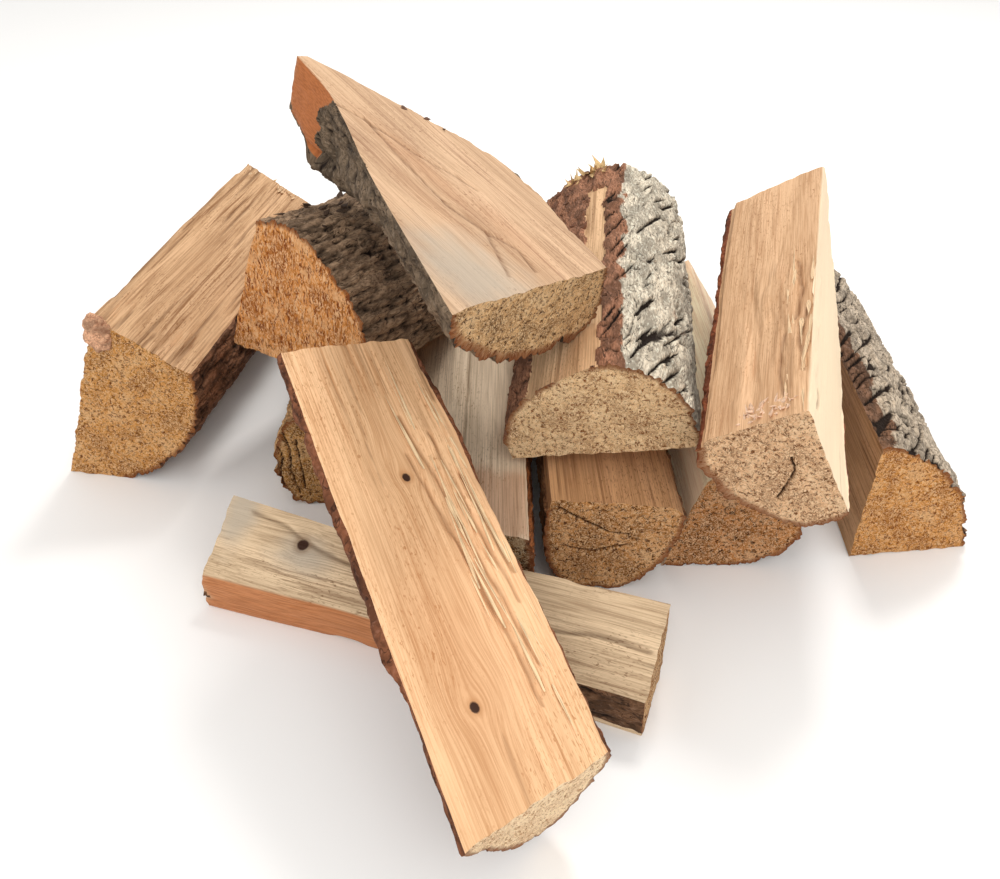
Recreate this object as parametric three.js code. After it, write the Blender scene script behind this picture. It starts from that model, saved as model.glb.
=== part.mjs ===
// A loose bundle of split firewood: twelve logs of about 330 mm, lying in a heap on level ground.
// Millimetres, +Z up, +Y away from the front of the heap, origin on the ground at the middle of the heap.
// Each log is one solid, wood and bark together, as it grew.
import * as THREE from "three";

const DEG = Math.PI / 180;
const LOG_LENGTH = 330;        // firewood sawn to 33 cm billets
const BARK_STEPS = 5;          // facets along each rounded stretch of a section
const LENGTH_STEPS = 6;        // facets along a log

const COLOUR = {
  fresh: 0xdcb583,             // newly split face
  ochre: 0xb98048,             // sawn end in shade
  weathered: 0xc3ad8c,         // old, greyed split face
  barked: 0x6f5a48,            // log that shows mostly bark
};

// How each log lies. A section is drawn from the log's own origin, on the near sawn end.
//   at       the origin: x, y, z
//   heading  direction of the far end: 90 is straight back (+Y), 0 is to the right (+X)
//   rise     how far the far end is lifted, degrees
//   roll     turn about the log's own axis, degrees, clockwise seen from the near end
//   nearCut  slope of the near saw cut, mm back for each mm to the right
//   nearRake the same for each mm up
//   section  corners clockwise from the upper left: right, up, and how far the bark bulges
//            out before the next corner (0 is a flat split face)
//   change   how the section changes along the log, by steps: share of the length, width and
//            height over the near end's, shift to the right, and lean (right for each mm up)
const LOGS = {
  log_left_quarter: {
    at: [-308, 51, 0], heading: 80.5,
    section: [[-13, 159, 0], [62, 115, 5], [52, 57, 9], [-22, 0, 0], [-73, 0, 0]],
    change: [[1, 1.02, 1.05, 0, 0]],
  },
  log_upper_left: {
    at: [-150, 61, 104], heading: 58, rise: -4, length: 272,
    section: [[-54, 116, 3], [-14, 118, 5], [26, 86, 4], [46, 58, 4], [48, 34, 3], [42, 0, 0], [-94, 0, 0]],
    change: [[1, 0.92, 0.86, 0, 0]],
  },
  log_top_wedge: {
    at: [33, -58, 243], heading: 127, rise: 13, roll: 13.6, nearCut: 0.19, length: 335,
    section: [[-95, 0, 0], [63, 0, 4], [78, -44, 7], [47, -53, 4], [2, -55, 4], [-54, -35, 5]],
    change: [
      [0.333, 0.92, 1, 24, 0],
      [0.5, 0.8, 1, 30, 0],
      [0.667, 0.52, 0.95, 24, 0.2],
      [0.833, 0.26, 0.95, 16, 0.4],
      [1, 0.06, 0.8, 4, 0.05],
    ],
  },
  log_half_round: {
    at: [75, -49, 93], heading: 84, rise: 4,
    section: [[-70, 32, 5], [-34, 73, 4], [1, 87, 3], [38, 76, 5], [64, 38, 3], [66, 22, 0], [-66, 0, 3]],
  },
  log_front_plank: {
    at: [13, -300, 4], heading: 114.5, rise: 20.5, nearCut: 0.24, nearRake: 0.1,
    section: [[-48, 86, 0], [47, 71, 4], [42, 34, 5], [12, 0, 5], [-32, 60, 5]],
    change: [[1, 0.95, 0.95, 0, 0]],
  },
  log_front_cross: {
    at: [-211, -85, 0], heading: -20.6,
    section: [[-34, 65, 0], [17, 30, 2], [17, 0, 0], [-36, 0, 0]],
    change: [[0.333, 0.87, 0.94, -3, 0], [1, 1.05, 1.05, 0, 0]],
  },
  log_right_leaning: {
    at: [185, -116, 96], heading: 75, rise: 5,
    section: [[-53, 59, 0], [6, 95, 0], [46, 18, 4], [18, 0, 4], [-9, 7, 4], [-40, 27, 5]],
    change: [[1, 1.03, 1.12, -16, 0.18]],
  },
  log_far_right: {
    at: [324, -42, 0], heading: 87, nearCut: 0.19,
    section: [[-44, 105, 3], [-13, 96, 4], [21, 65, 4], [38, 36, 3], [47, 0, 0], [-48, 0, 0]],
  },
  log_right_low: {
    at: [172, -58, 0], heading: 90, length: 318,
    section: [[-21, 82, 0], [13, 107, 0], [58, 38, 5], [38, 9, 2], [-3, 0, 0], [-46, 0, 0], [-33, 47, 0]],
    change: [[1, 1.04, 1.04, 0, 0]],
  },
  log_centre_low: {
    at: [87, -83, 0], heading: 91,
    section: [[-50, 86, 0], [37, 79, 2], [47, 68, 8], [7, 0, 0], [-35, 4, 5], [-52, 40, 3]],
  },
  log_smooth_low: {
    at: [-31, -110, 0], heading: 90, nearCut: -0.32,
    section: [[-55, 45, 0], [-8, 88, 0], [50, 86, 3], [52, 10, 3], [40, 0, 0], [-45, 0, 2]],
  },
  log_left_low: {
    at: [-128, 18, 0], heading: 90, length: 325,
    section: [
      [-50, 66, 6], [-27, 90, 0], [18, 90, 4], [38, 58, 3],
      [38, 8, 2], [20, 0, 0], [-30, 0, 6], [-53, 22, 6],
    ],
    change: [[1, 1, 0.92, 0, 0]],
  },
};

const LOOK = {
  log_left_quarter: "fresh",
  log_upper_left: "ochre",
  log_top_wedge: "fresh",
  log_half_round: "barked",
  log_front_plank: "fresh",
  log_front_cross: "weathered",
  log_right_leaning: "fresh",
  log_far_right: "barked",
  log_right_low: "ochre",
  log_centre_low: "weathered",
  log_smooth_low: "weathered",
  log_left_low: "barked",
};

// The outline of a cut end: straight split faces, and bark that bulges between its corners.
function sectionShape(corners) {
  const points = [];
  corners.forEach(([u, v, bulge], i) => {
    const [nextU, nextV] = corners[(i + 1) % corners.length];
    const reach = Math.hypot(nextU - u, nextV - v);
    const outward = [-(nextV - v) / reach, (nextU - u) / reach];
    const steps = bulge > 0 ? BARK_STEPS : 1;
    for (let k = 0; k < steps; k += 1) {
      const t = k / steps;
      const lift = 4 * bulge * t * (1 - t);
      points.push(new THREE.Vector2(
        u + (nextU - u) * t + outward[0] * lift,
        v + (nextV - v) * t + outward[1] * lift,
      ));
    }
  });
  return new THREE.Shape(points);
}

// Width, height, shift and lean of the section at a share of the length.
function sectionAt(along, change) {
  const steps = [[0, 1, 1, 0, 0], ...change];
  const next = steps.findIndex(([share]) => share >= along && share > 0);
  const [shareA, ...a] = steps[next - 1];
  const [shareB, ...b] = steps[next];
  const t = (along - shareA) / (shareB - shareA);
  return a.map((value, i) => value + (b[i] - value) * t);
}

// Near end at local z = 0 facing +Z, far end at z = -length.
function logGeometry(log) {
  const { length = LOG_LENGTH, roll = 0, nearCut = 0, nearRake = 0, section } = log;
  const change = log.change ?? [[1, 1, 1, 0, 0]];
  const geometry = new THREE.ExtrudeGeometry(sectionShape(section), {
    depth: length,
    steps: LENGTH_STEPS,
    bevelEnabled: false,
  });
  geometry.translate(0, 0, -length);
  const position = geometry.attributes.position;
  for (let i = 0; i < position.count; i += 1) {
    const along = Math.min(1, -position.getZ(i) / length);
    const [wide, high, right, lean] = sectionAt(along, change);
    const v = position.getY(i) * high;
    const u = position.getX(i) * wide + v * lean + right;
    const cut = (nearCut * position.getX(i) + nearRake * position.getY(i)) * (1 - along);
    position.setXYZ(i, u, v, position.getZ(i) - cut);
  }
  geometry.rotateZ(-roll * DEG);
  return geometry;
}

function makeLog(name, log) {
  const material = new THREE.MeshStandardMaterial({
    color: COLOUR[LOOK[name]],
    roughness: 0.85,
    metalness: 0,
  });
  const mesh = new THREE.Mesh(logGeometry(log), material);
  mesh.name = name;
  mesh.position.set(...log.at);
  mesh.rotation.set((90 + (log.rise ?? 0)) * DEG, 0, (log.heading - 90) * DEG, "ZXY");
  return mesh;
}

const heap = new THREE.Group();
for (const [name, log] of Object.entries(LOGS)) heap.add(makeLog(name, log));

// The origin is under the middle of the heap.
heap.updateMatrixWorld(true);
const box = new THREE.Box3().setFromObject(heap, true);
const middle = box.getCenter(new THREE.Vector3());
heap.position.set(-middle.x, -middle.y, -box.min.z);

const group = new THREE.Group();
group.add(heap);
export default group;
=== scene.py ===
"""A loose bundle of split firewood: twelve logs with torn split faces, rough sawn ends and bark."""

import math

import bpy
import numpy as np
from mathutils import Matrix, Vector


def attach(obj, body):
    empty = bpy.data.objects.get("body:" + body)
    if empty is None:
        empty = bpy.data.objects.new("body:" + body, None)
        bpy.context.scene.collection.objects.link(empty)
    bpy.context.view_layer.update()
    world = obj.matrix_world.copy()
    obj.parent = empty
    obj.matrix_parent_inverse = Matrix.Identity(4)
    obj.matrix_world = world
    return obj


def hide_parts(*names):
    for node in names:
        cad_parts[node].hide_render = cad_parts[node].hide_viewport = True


bl_info = {
    "name": "Firewood Bundle",
    "version": (1, 0, 0),
    "blender": (4, 5, 0),
    "location": "3D View > Sidebar > Firewood",
    "description": "Builds a loose bundle of split logs around the packed model",
    "category": "Add Mesh",
}

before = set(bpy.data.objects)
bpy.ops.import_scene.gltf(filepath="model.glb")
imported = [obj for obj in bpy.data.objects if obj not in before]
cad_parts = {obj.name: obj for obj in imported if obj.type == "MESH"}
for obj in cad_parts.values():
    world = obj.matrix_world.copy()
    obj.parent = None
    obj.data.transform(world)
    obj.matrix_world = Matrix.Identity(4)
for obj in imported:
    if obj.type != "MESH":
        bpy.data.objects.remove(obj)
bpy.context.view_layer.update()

MM = 0.001
CAD_STEPS = 6                # lengths that each solid log is built from
SIDE_SMOOTHING = 24          # passes that round the flat facets of the bark
NEAR_RINGS = 38              # rings of faces across the end that is seen most
FAR_RINGS = 14
ROW_GROUP = 12               # a log's rows are a multiple of this, so that they cut evenly
FLOOR_CLEARANCE = 0.2 * MM
SEED_STEP = 31               # keeps the noise of one log apart from the next one's
BARK_CORNER = math.radians(32)   # a sharper turn than this is a corner and isn't rounded
BARK_RADIUS = 50 * MM        # turns an angle around a log into a distance around its bark
SMOOTH_UNDER = math.radians(50)  # edges that turn less are shaded smooth
CRACK_WIDTH = 1.5 * MM       # of the cracks along the split faces
CRACK_DEPTH = 1.8 * MM
KNOT_DEPTH = 1.2 * MM
EDGE_CHIP = 2.2 * MM         # how much is chipped off an edge between two faces
END_REACH = 3 * MM           # how far the chipping at an end reaches along the log
END_WAVE = 1.4 * MM          # how far the rim of an end waves in and out
RIM_FADE = 1.5               # rings over which a sawn end leaves the carved side
RIM_REACH = 12 * MM          # the widest ring of inner bark on a sawn end
GROWTH_RING = 4.5 * MM
NO_CHANGE = 1e6              # a length, in mm, over which a pattern doesn't change
SPLINTER_CURL = (-0.12, 0.25)    # how far its tip bends, as a share of its length
SPLINTER_THICKNESS = 0.4     # as a share of its width
SPLINTER_CUTS = 5            # along its length
LIFT_OFF = 0.3 * MM          # splinters start this far above the face
SLOPE_STEP = 4 * MM          # distance over which the slope under a splinter is measured


# Soft lights: name, place, size, watts and colour. The key stands behind the heap, high up.
LIGHTS = (
    ("key", (0.5, 1.2, 1.85), 0.5, 19.5, (1, 0.97, 0.93)),
    ("fill", (0.2, -1.9, 1.3), 1.8, 21, (1, 0.98, 0.95)),
)
LIGHTS_AIM = (0, 0, 0.1)
SKY_COLOUR = (1, 0.985, 0.96, 1)
SKY_STRENGTH = 0.85
FLOOR_SIDE = 12
CAMERA_AT = (-0.0041, -0.6301, 0.5155)
CAMERA_DOWN = math.radians(35.5)
CAMERA_LENS = 34.4
CAMERA_SENSOR = 36


# ---------------------------------------------------------------- colours

def linear(hex_colour):
    """An sRGB hex colour as linear red, green and blue."""
    parts = [int(hex_colour[i:i + 2], 16) / 255 for i in (0, 2, 4)]
    return [c / 12.92 if c <= 0.04045 else ((c + 0.055) / 1.055) ** 2.4 for c in parts]


# How each log is finished. Angles are the directions that its sides face, in degrees anticlockwise
# from the right, seen from its near end. Places are mm to the right of the near end's middle (and
# up, on the end), and mm along from the near end. Shares are parts of the length.
#   slot      the record's material for the whole log
#   style     pattern of its bark
#   seed      sets its own noise apart
#   bark      arc that its bark covers
#   bare      arcs and shares where the bark is gone
#   pale      arc where the bark's outer plates are left, weathered pale
#   inner     colour of the younger bark beside those plates
#   furrows   how wide the cracks between bark plates are
#   swell     arc, shares and thickness of bark that stands further out, mm
#   pith      where the middle of the tree was: right and up
#   groove    how deep the grooves between its fibres are
#   grooved   stretches with deep grooves: right from and to, along from and to
#   torn      stretches of lifted, torn fibre: right from and to, along from and to
#   cracks    lines on the upper faces: right, along
#   knots     right, along, radius
#   swirls    right, along, radius of a bend in the grain with no knot
#   amber     arcs and shares of orange-brown wood, and how strong it is; on log_smooth_low it is painted shadow
#   warm      orange patches on a split face: right, along, half width, half length, strength
#   stains    grey-blue patches: right, along, half width, half length
#   cream     arc of clean, pale split faces
#   saw_run   under 1 draws the specks of the sawn end out upwards
#   end_cracks and end_knots  lines on the near end: right, up; and knots: right, up, radius
#   split, sawn, skin  light and dark colours of its split faces, ends and bark
LOGS = {
    "log_left_quarter": dict(
        bark=(-82, 25), pith=(-70, 60), slot="split_wood", style="ridged", seed=1, groove=1.4,
        grooved=[(-80, 90, -10, 340)],
        split=("cda67e", "855a34"), sawn=("d89850", "784420"), skin=("7e5840", "1c0f09"),
        torn=[(-60, 60, 0, 60)]),
    "log_upper_left": dict(
        bark=(-35, 115), pith=(-78, -48), slot="bark", style="ridged", seed=2, groove=1.0,
        split=("c99a6c", "94643b"), sawn=("de944e", "86431a"), skin=("a0846a", "1d110a"),
        saw_run=0.35),
    "log_top_wedge": dict(
        bark=(-187, 13), pith=(-8, 26), slot="split_wood", style="ridged", seed=3, groove=0.4,
        split=("cca986", "8a6044"), sawn=("d8ab76", "54331a"), skin=("74624f", "1f140d"),
        bare=[(100, 240, 0.8, 1.01)], amber_and_shade=[(100, 240, 0.78, 1.01, 1.0)],
        swell=[(195, 275, 0.42, 0.88, 12), (195, 275, -0.01, 0.4, 6)],
        swirls=[(6, 118, 12)], stains=[(-50, 18, 44, 66)],
        warm=[(2, 150, 11, 80, 0.24), (14, 62, 15, 50, 0.22), (-24, 100, 10, 60, 0.12)],
        cracks=[[(-16, 264), (-4, 232), (4, 200), (10, 168), (24, 140), (30, 118)],
                [(0, 226), (-8, 150), (-12, 96), (-4, 62), (-14, 34), (-22, 12)],
                [(-4, 62), (6, 40), (2, 14)]]),
    "log_half_round": dict(
        bark=(-10, 195), pith=(0, -42), slot="bark", style="plates", seed=4, groove=0.7,
        bare=[(98, 121, -0.01, 0.86), (116, 140, -0.01, 0.3)], pale=(-20, 74),
        split=("dcb48a", "8d643f"), sawn=("f0c896", "8a5832"), skin=("d2c6b2", "1f140d"),
        inner="9a6c52", furrows=0.85),
    "log_front_plank": dict(
        bark=(-215, 15), pith=(0, 40), slot="split_wood", style="smooth", seed=5, groove=0.5,
        grooved=[(-60, 70, 262, 340)],
        split=("e4b88c", "b07848"), sawn=("ffe0b8", "c0926a"), skin=("7c4c33", "2a160d"),
        torn=[(4, 40, 40, 250)], knots=[(-4, 210, 3.2), (-20, 58, 3.4)],
        swell=[(135, 245, 0.3, 1.01, 3.5)], warm=[(-14, 90, 34, 90, 0.2)],
        swirls=[(-6, 222, 6), (-18, 66, 7)],
        cracks=[[(8, 258), (14, 205), (19, 140), (25, 70)], [(22, 240), (26, 175), (31, 110)],
                [(3, 228), (9, 165), (15, 100), (18, 48)], [(31, 205), (35, 130)]]),
    "log_front_cross": dict(
        bark=(-10, 20), pith=(60, 70), slot="weathered_wood", style="ridged", seed=6, groove=0.7,
        bare=[(-30, 60, -0.01, 0.79)],
        split=("d8bd9a", "7c5b3c"), sawn=("c79868", "7a4a28"), skin=("6a4c36", "20130c"),
        amber_and_shade=[(-60, 40, -0.01, 0.75, 0.85)], knots=[(-6, 66, 4.2)],
        stains=[(-14, 10, 30, 18), (0, 70, 14, 30)],
        cracks=[[(-16, 20), (-14, 50), (-8, 66), (-2, 110)], [(6, 250), (2, 290), (4, 325)]]),
    "log_right_leaning": dict(
        bark=(-185, -35), pith=(14, 50), slot="split_wood", style="smooth", seed=7, groove=0.35,
        split=("d9b088", "9c6c44"), sawn=("eebf92", "7e5232"), skin=("8a4a2c", "32170d"),
        cream=(-20, 75), swell=[(150, 240, -0.01, 1.01, 3)],
        torn=[(-34, 14, 12, 190)], end_cracks=[[(6, 14), (10, 4), (7, -8), (3, -22)]],
        cracks=[[(17, 24), (20, 36), (19, 46)], [(-2, 188), (1, 150), (-1, 108)],
                [(5, 122), (3, 80), (6, 42)], [(-7, 92), (-9, 52), (-5, 24)]]),
    "log_far_right": dict(
        bark=(-5, 95), pith=(-42, -46), slot="bark", style="plates", seed=8, groove=1.0,
        pale=(-20, 110), split=("c79c72", "81552f"), sawn=("d8964e", "854a1e"),
        skin=("b8a894", "22160e"), inner="7a5a45", furrows=1.7),
    "log_right_low": dict(
        bark=(-100, -10), pith=(-12, 34), slot="split_wood", style="ridged", seed=9, groove=0.7,
        # Its light split colour is painted paler than the wood, as painted light where the heap
        # shades its upper face.
        split=("fde4c4", "cda27c"), sawn=("c48248", "4e2910"), skin=("6b4a36", "1f120b"),
        end_knots=[(-5, 12, 4.0)]),
    "log_centre_low": dict(
        bark=(-190, 60), pith=(0, 55), slot="weathered_wood", style="smooth", seed=10, groove=0.6,
        split=("c8996c", "73482a"), sawn=("d09458", "5a3216"), skin=("8a6242", "26160d"),
        bare=[(20, 62, -0.01, 1.01)],
        end_cracks=[[(-38, 34), (-20, 22), (0, 10), (16, 8)], [(-30, -4), (-10, -8), (14, -2)]]),
    "log_smooth_low": dict(
        bark=(-70, 30), pith=(-50, -40), slot="weathered_wood", style="stringy", seed=11,
        # Its light split colour is painted paler than the wood, as painted light where the heap
        # shades its top.
        groove=0.2, split=("e6d0b4", "907659"), sawn=("8c6238", "42280f"),
        # Its orange at the near end is painted shadow, where log_half_round shades its top.
        skin=("96592f", "351a0d"), amber_and_shade=[(60, 200, -0.01, 0.2, 0.4)],
        cracks=[[(-2, 330), (1, 220), (0, 150), (-1, 90), (1, 40)]]),
    "log_left_low": dict(
        bark=(100, 440), pith=(0, 0), slot="bark", style="ridged", seed=12, groove=1.0,
        split=("b48b62", "7d5632"), sawn=("c8904e", "5a3416"), skin=("c49a6c", "2b150c"),
        end_cracks=[[(-49, 28), (-43, 8), (-47, -14), (-41, -36)], [(-30, 22), (-28, -26)],
                    [(-41, 36), (-36, 12), (-38, -8), (-33, -32)]]),
}

# Splinters, strings and flakes left by the splitting, by piece. Lengths are in mm, from and to.
#   log      whose face they lie on
#   region   right from and to, along from and to; past the edge of the log is its edge
#   lift     how steeply they stand off the face, degrees
#   heading  which way they point, degrees off the grain
SPLINTERS = {
    "splinters_front_plank": dict(
        log="log_front_plank", region=(6, 38, 45, 244), count=34, length=(24, 72),
        width=(0.7, 2.2), lift=(0.2, 1.6), heading=(-5, 2), colour="efcfa4", slot="split_wood"),
    "splinters_right_leaning": dict(
        log="log_right_leaning", region=(-10, 9, 34, 185), count=20, length=(16, 55),
        width=(1.0, 3.6), lift=(0.5, 4), heading=(-6, 4), colour="eccba2", slot="split_wood"),
    "splinters_leaning_end": dict(
        log="log_right_leaning", region=(-30, 4, 4, 20), count=44, length=(3, 9),
        width=(1.4, 3.2), lift=(8, 40), heading=(-70, 70), colour="efcbae", slot="split_wood"),
    "splinters_half_round": dict(
        log="log_half_round", region=(-36, -6, 316, 329), count=30, length=(7, 20),
        width=(1.6, 4.6), lift=(8, 48), heading=(-40, 30), colour="e0bd88", slot="split_wood"),
    "splinters_left_quarter": dict(
        log="log_left_quarter", region=(-50, 40, 318, 329), count=26, length=(4, 10),
        width=(1.2, 3.2), lift=(0, 8), heading=(-20, 20), colour="dcb890", slot="split_wood"),
    "bark_flakes_top_wedge": dict(
        log="log_top_wedge", region=(150, 151, 60, 250), count=34, length=(4, 10),
        width=(2.0, 5.0), lift=(-10, 24), heading=(-60, 60), colour="6a4a38", slot="bark"),
    "bark_flakes_upper_left": dict(
        log="log_upper_left", region=(-40, 10, 20, 250), count=40, length=(5, 12),
        width=(2.5, 6.0), lift=(4, 30), heading=(-50, 50), colour="4e3a2c", slot="bark"),
    "bark_flakes_half_round": dict(
        log="log_half_round", region=(-52, -20, 150, 325), count=34, length=(6, 14),
        width=(3.0, 7.0), lift=(1, 12), heading=(-40, 40), colour="7c5038", slot="bark"),
    "bark_strings_smooth_low": dict(
        log="log_smooth_low", region=(150, 151, 2, 70), count=40, length=(8, 24),
        width=(0.7, 1.8), lift=(-16, 10), heading=(-14, 14), colour="7a4426", slot="bark"),
}


# Crumbly lumps of inner bark: the log, mm right, up and along its near end, and half sizes in mm.
CRUMBS = {
    "chip_left_quarter": dict(
        log="log_left_quarter", at=(-9, 75, 0), size=(11, 16, 7), colour="d9a684",
        furrow="8a5a40", seed=5),
}


# ---------------------------------------------------------------- patterns for the carving

_random = np.random.default_rng(7)
SHUFFLE = np.tile(_random.permutation(256), 2)
SLOPES = _random.normal(size=(256, 3))
SLOPES /= np.linalg.norm(SLOPES, axis=1)[:, None]
SEED_SHIFT = np.array([17.3, 41.7, 5.9])    # moves each seed to a part of the noise of its own
NOISE_SPREAD = 1.6                          # brings the noise to about -1 to 1


def hashed(cell):
    """A number from 0 to 255 that looks random but is always the same for a cell."""
    c = cell & 255
    return SHUFFLE[(SHUFFLE[(SHUFFLE[c[..., 0]] + c[..., 1]) & 255] + c[..., 2]) & 255]


def noise(points, seed=0):
    """Smooth noise from about -1 to 1, with one bump to each unit of the points."""
    p = points + SEED_SHIFT * (seed + 1)
    cell = np.floor(p).astype(np.int64)
    f = p - cell
    w = f * f * f * (f * (f * 6 - 15) + 10)
    total = 0.0
    for dx in (0, 1):
        for dy in (0, 1):
            for dz in (0, 1):
                corner = np.array([dx, dy, dz])
                slope = SLOPES[hashed(cell + corner)]
                weight = np.prod(np.where(corner == 1, w, 1 - w), axis=-1)
                total = total + weight * ((f - corner) * slope).sum(-1)
    return total * NOISE_SPREAD


def layered(points, seed, octaves=3):
    """Noise with finer noise on it, each layer half as coarse and half as strong."""
    total, share = 0.0, 1.0
    for k in range(octaves):
        total = total + share * noise(points * 2 ** k, seed + 13 * k)
        share *= 0.5
    return total


def smoothstep(low, high, x):
    t = np.clip((x - low) / (high - low), 0, 1)
    return t * t * (3 - 2 * t)


def scaled(grain, across, along):
    """Log coordinates counted in features that are so many mm across and along the grain."""
    return grain / (np.array([across, across, along]) * MM)


# ---------------------------------------------------------------- reading a log's solid

def coordinates(mesh):
    """The points of a mesh, one to a row."""
    co = np.empty(len(mesh.vertices) * 3)
    mesh.vertices.foreach_get("co", co)
    return co.reshape(-1, 3)


def loop_points(mesh):
    """The point that each corner of each face uses."""
    loops = np.empty(len(mesh.loops), np.int64)
    mesh.loops.foreach_get("vertex_index", loops)
    return loops


class Solid:
    """A log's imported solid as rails: the lines that run from its near end to its far one."""

    def __init__(self, name):
        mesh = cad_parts[name].data
        corners = coordinates(mesh)[loop_points(mesh).reshape(-1, 3)]
        cross = np.cross(corners[:, 1] - corners[:, 0], corners[:, 2] - corners[:, 0])
        area = np.linalg.norm(cross, axis=1)
        normal = cross / area[:, None]
        middle = corners.mean(1)

        axis = np.linalg.eigh((normal * area[:, None]).T @ normal)[1][:, 0]
        forward = axis[np.argmax(np.abs(axis[:2]))]
        axis = axis * np.sign(forward)
        far, near = normal @ axis > 0.8, normal @ axis < -0.75
        self.axis = np.average(normal[far], axis=0, weights=area[far])
        self.axis /= np.linalg.norm(self.axis)
        far_middle = np.average(middle[far], axis=0, weights=area[far])
        self.near_normal = np.average(normal[near], axis=0, weights=area[near])
        self.near_normal /= np.linalg.norm(self.near_normal)
        self.middle = np.average(middle[near], axis=0, weights=area[near])
        self.right = np.cross(self.axis, (0, 0, 1))
        self.right /= np.linalg.norm(self.right)
        self.up = np.cross(self.right, self.axis)

        self.length = float(np.linalg.norm(far_middle - self.middle))
        points = np.unique(np.round(corners.reshape(-1, 3), 5), axis=0)
        self.rings = self.stations(name, points, far_middle)

    def stations(self, name, points, far_middle):
        """The solid's outline at each of the stations along it that the solid was built from,
        each ring of points starting at the same rail."""
        to_near = (points - self.middle) @ self.near_normal / (self.axis @ self.near_normal)
        to_far = (far_middle - points) @ self.axis
        step = np.round(CAD_STEPS * to_near / (to_near + to_far)).astype(int)
        counts = np.bincount(step, minlength=CAD_STEPS + 1)
        if len(set(counts)) != 1:
            raise RuntimeError(f"{name}: its stations have {counts.tolist()} points")
        rings, before = [], None
        for j in range(CAD_STEPS + 1):
            ring = points[step == j]
            flat = np.stack([ring @ self.right, ring @ self.up], 1)
            flat = flat - (flat.max(0) + flat.min(0)) / 2
            order = np.argsort(np.arctan2(flat[:, 1], flat[:, 0]))
            ring, flat = ring[order], flat[order]
            shape = (flat - flat.mean(0)) / flat.std(0)
            if before is not None:
                misfit = [((np.roll(shape, -k, 0) - before) ** 2).sum() for k in range(len(ring))]
                best = int(np.argmin(misfit))
                ring, shape = np.roll(ring, -best, 0), np.roll(shape, -best, 0)
            rings.append(ring)
            before = shape
        return np.array(rings)

    def local(self, points):
        """Points as right, up and along, from the middle of the near end."""
        away = points - self.middle
        return np.stack([away @ self.right, away @ self.up, away @ self.axis], 1)

    def at(self, shares):
        """The outline at each share of the length, on Catmull-Rom curves through the stations."""
        s = np.clip(np.asarray(shares) * CAD_STEPS, 0, CAD_STEPS - 1e-9)
        j = s.astype(int)
        t = (s - j)[:, None, None]
        padded = np.concatenate([
            [2 * self.rings[0] - self.rings[1]], self.rings, [2 * self.rings[-1] - self.rings[-2]]])
        a, b, c, d = padded[j], padded[j + 1], padded[j + 2], padded[j + 3]
        return b + 0.5 * t * (c - a + t * (2 * a - 5 * b + 4 * c - d + t * (3 * (b - c) + d - a)))


def outline(solid, arc, sizes, rows):
    """Points of the side: rows along the log by columns around it, closer together on bark."""
    mean = solid.rings.mean(0)
    ahead = np.roll(mean, -1, 0) - mean
    reach = np.linalg.norm(ahead, axis=1)
    out = np.cross(ahead, -solid.axis)
    skin = within(np.degrees(np.arctan2(out @ solid.up, out @ solid.right)), arc)
    spacing = np.where(skin > 0.5, sizes.bark_spacing, sizes.split_spacing)
    counts = np.maximum(1, np.round(reach / spacing)).astype(int)
    k = np.repeat(np.arange(len(counts)), counts)
    f = np.concatenate([np.arange(n) / n for n in counts])[None, :, None]
    rails = solid.at(np.linspace(0, 1, rows + 1))
    return rails[:, k] * (1 - f) + rails[:, (k + 1) % len(counts)] * f


def outward(solid, side):
    """The direction out of the log at each point of its side."""
    tangent = np.roll(side, -1, 1) - np.roll(side, 1, 1)
    normal = np.cross(tangent, -solid.axis)
    return normal / np.linalg.norm(normal, axis=2)[..., None]


def facing(solid, normals):
    """Direction that each column of the side faces, degrees anticlockwise from the right."""
    mean = normals.mean(0)
    return np.degrees(np.arctan2(mean @ solid.up, mean @ solid.right))


def within(angle, arc):
    """1 for directions inside an arc, and 0 outside it."""
    low, high = arc
    return (((angle - low) % 360) <= (high - low)).astype(float)


# ---------------------------------------------------------------- carving

def terraces(value, softness=0.3):
    """Steps, flat on top, that follow a smooth pattern."""
    return np.floor(value) + smoothstep(0, softness, value - np.floor(value))


def split_relief(grain, seed, look, torn, rough, sizes):
    """Height of a split face and how open it is: it undulates, with grooves between its fibres,
    and thin layers of wood stand up where it tore."""
    sway = noise(scaled(grain, 70, 190), seed) * sizes.undulation
    bend = noise(scaled(grain, 26, 120), seed + 12) * 0.35 * sizes.undulation
    wide = noise(scaled(grain, 5.0, 210), seed + 1)
    thin = noise(scaled(grain, 2.4, 110), seed + 2)
    patch = smoothstep(-0.25, 0.45, noise(scaled(grain, 34, 110), seed + 14))
    patch = np.maximum(np.clip(patch + look["groove"] - 0.8, 0.08, 1), rough)
    groove = (smoothstep(0.2, 0.7, wide) + 0.9 * smoothstep(0.25, 0.7, thin)) * patch
    layers = terraces(layered(scaled(grain, 15, 105), seed + 3, 2) * 2.6)
    height = (0.35 * wide - groove) * np.maximum(look["groove"], rough) + (0.25 + 1.5 * torn) * layers
    return sway + bend + height * sizes.fibre_height, 1 - np.clip(groove, 0, 1)


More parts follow.
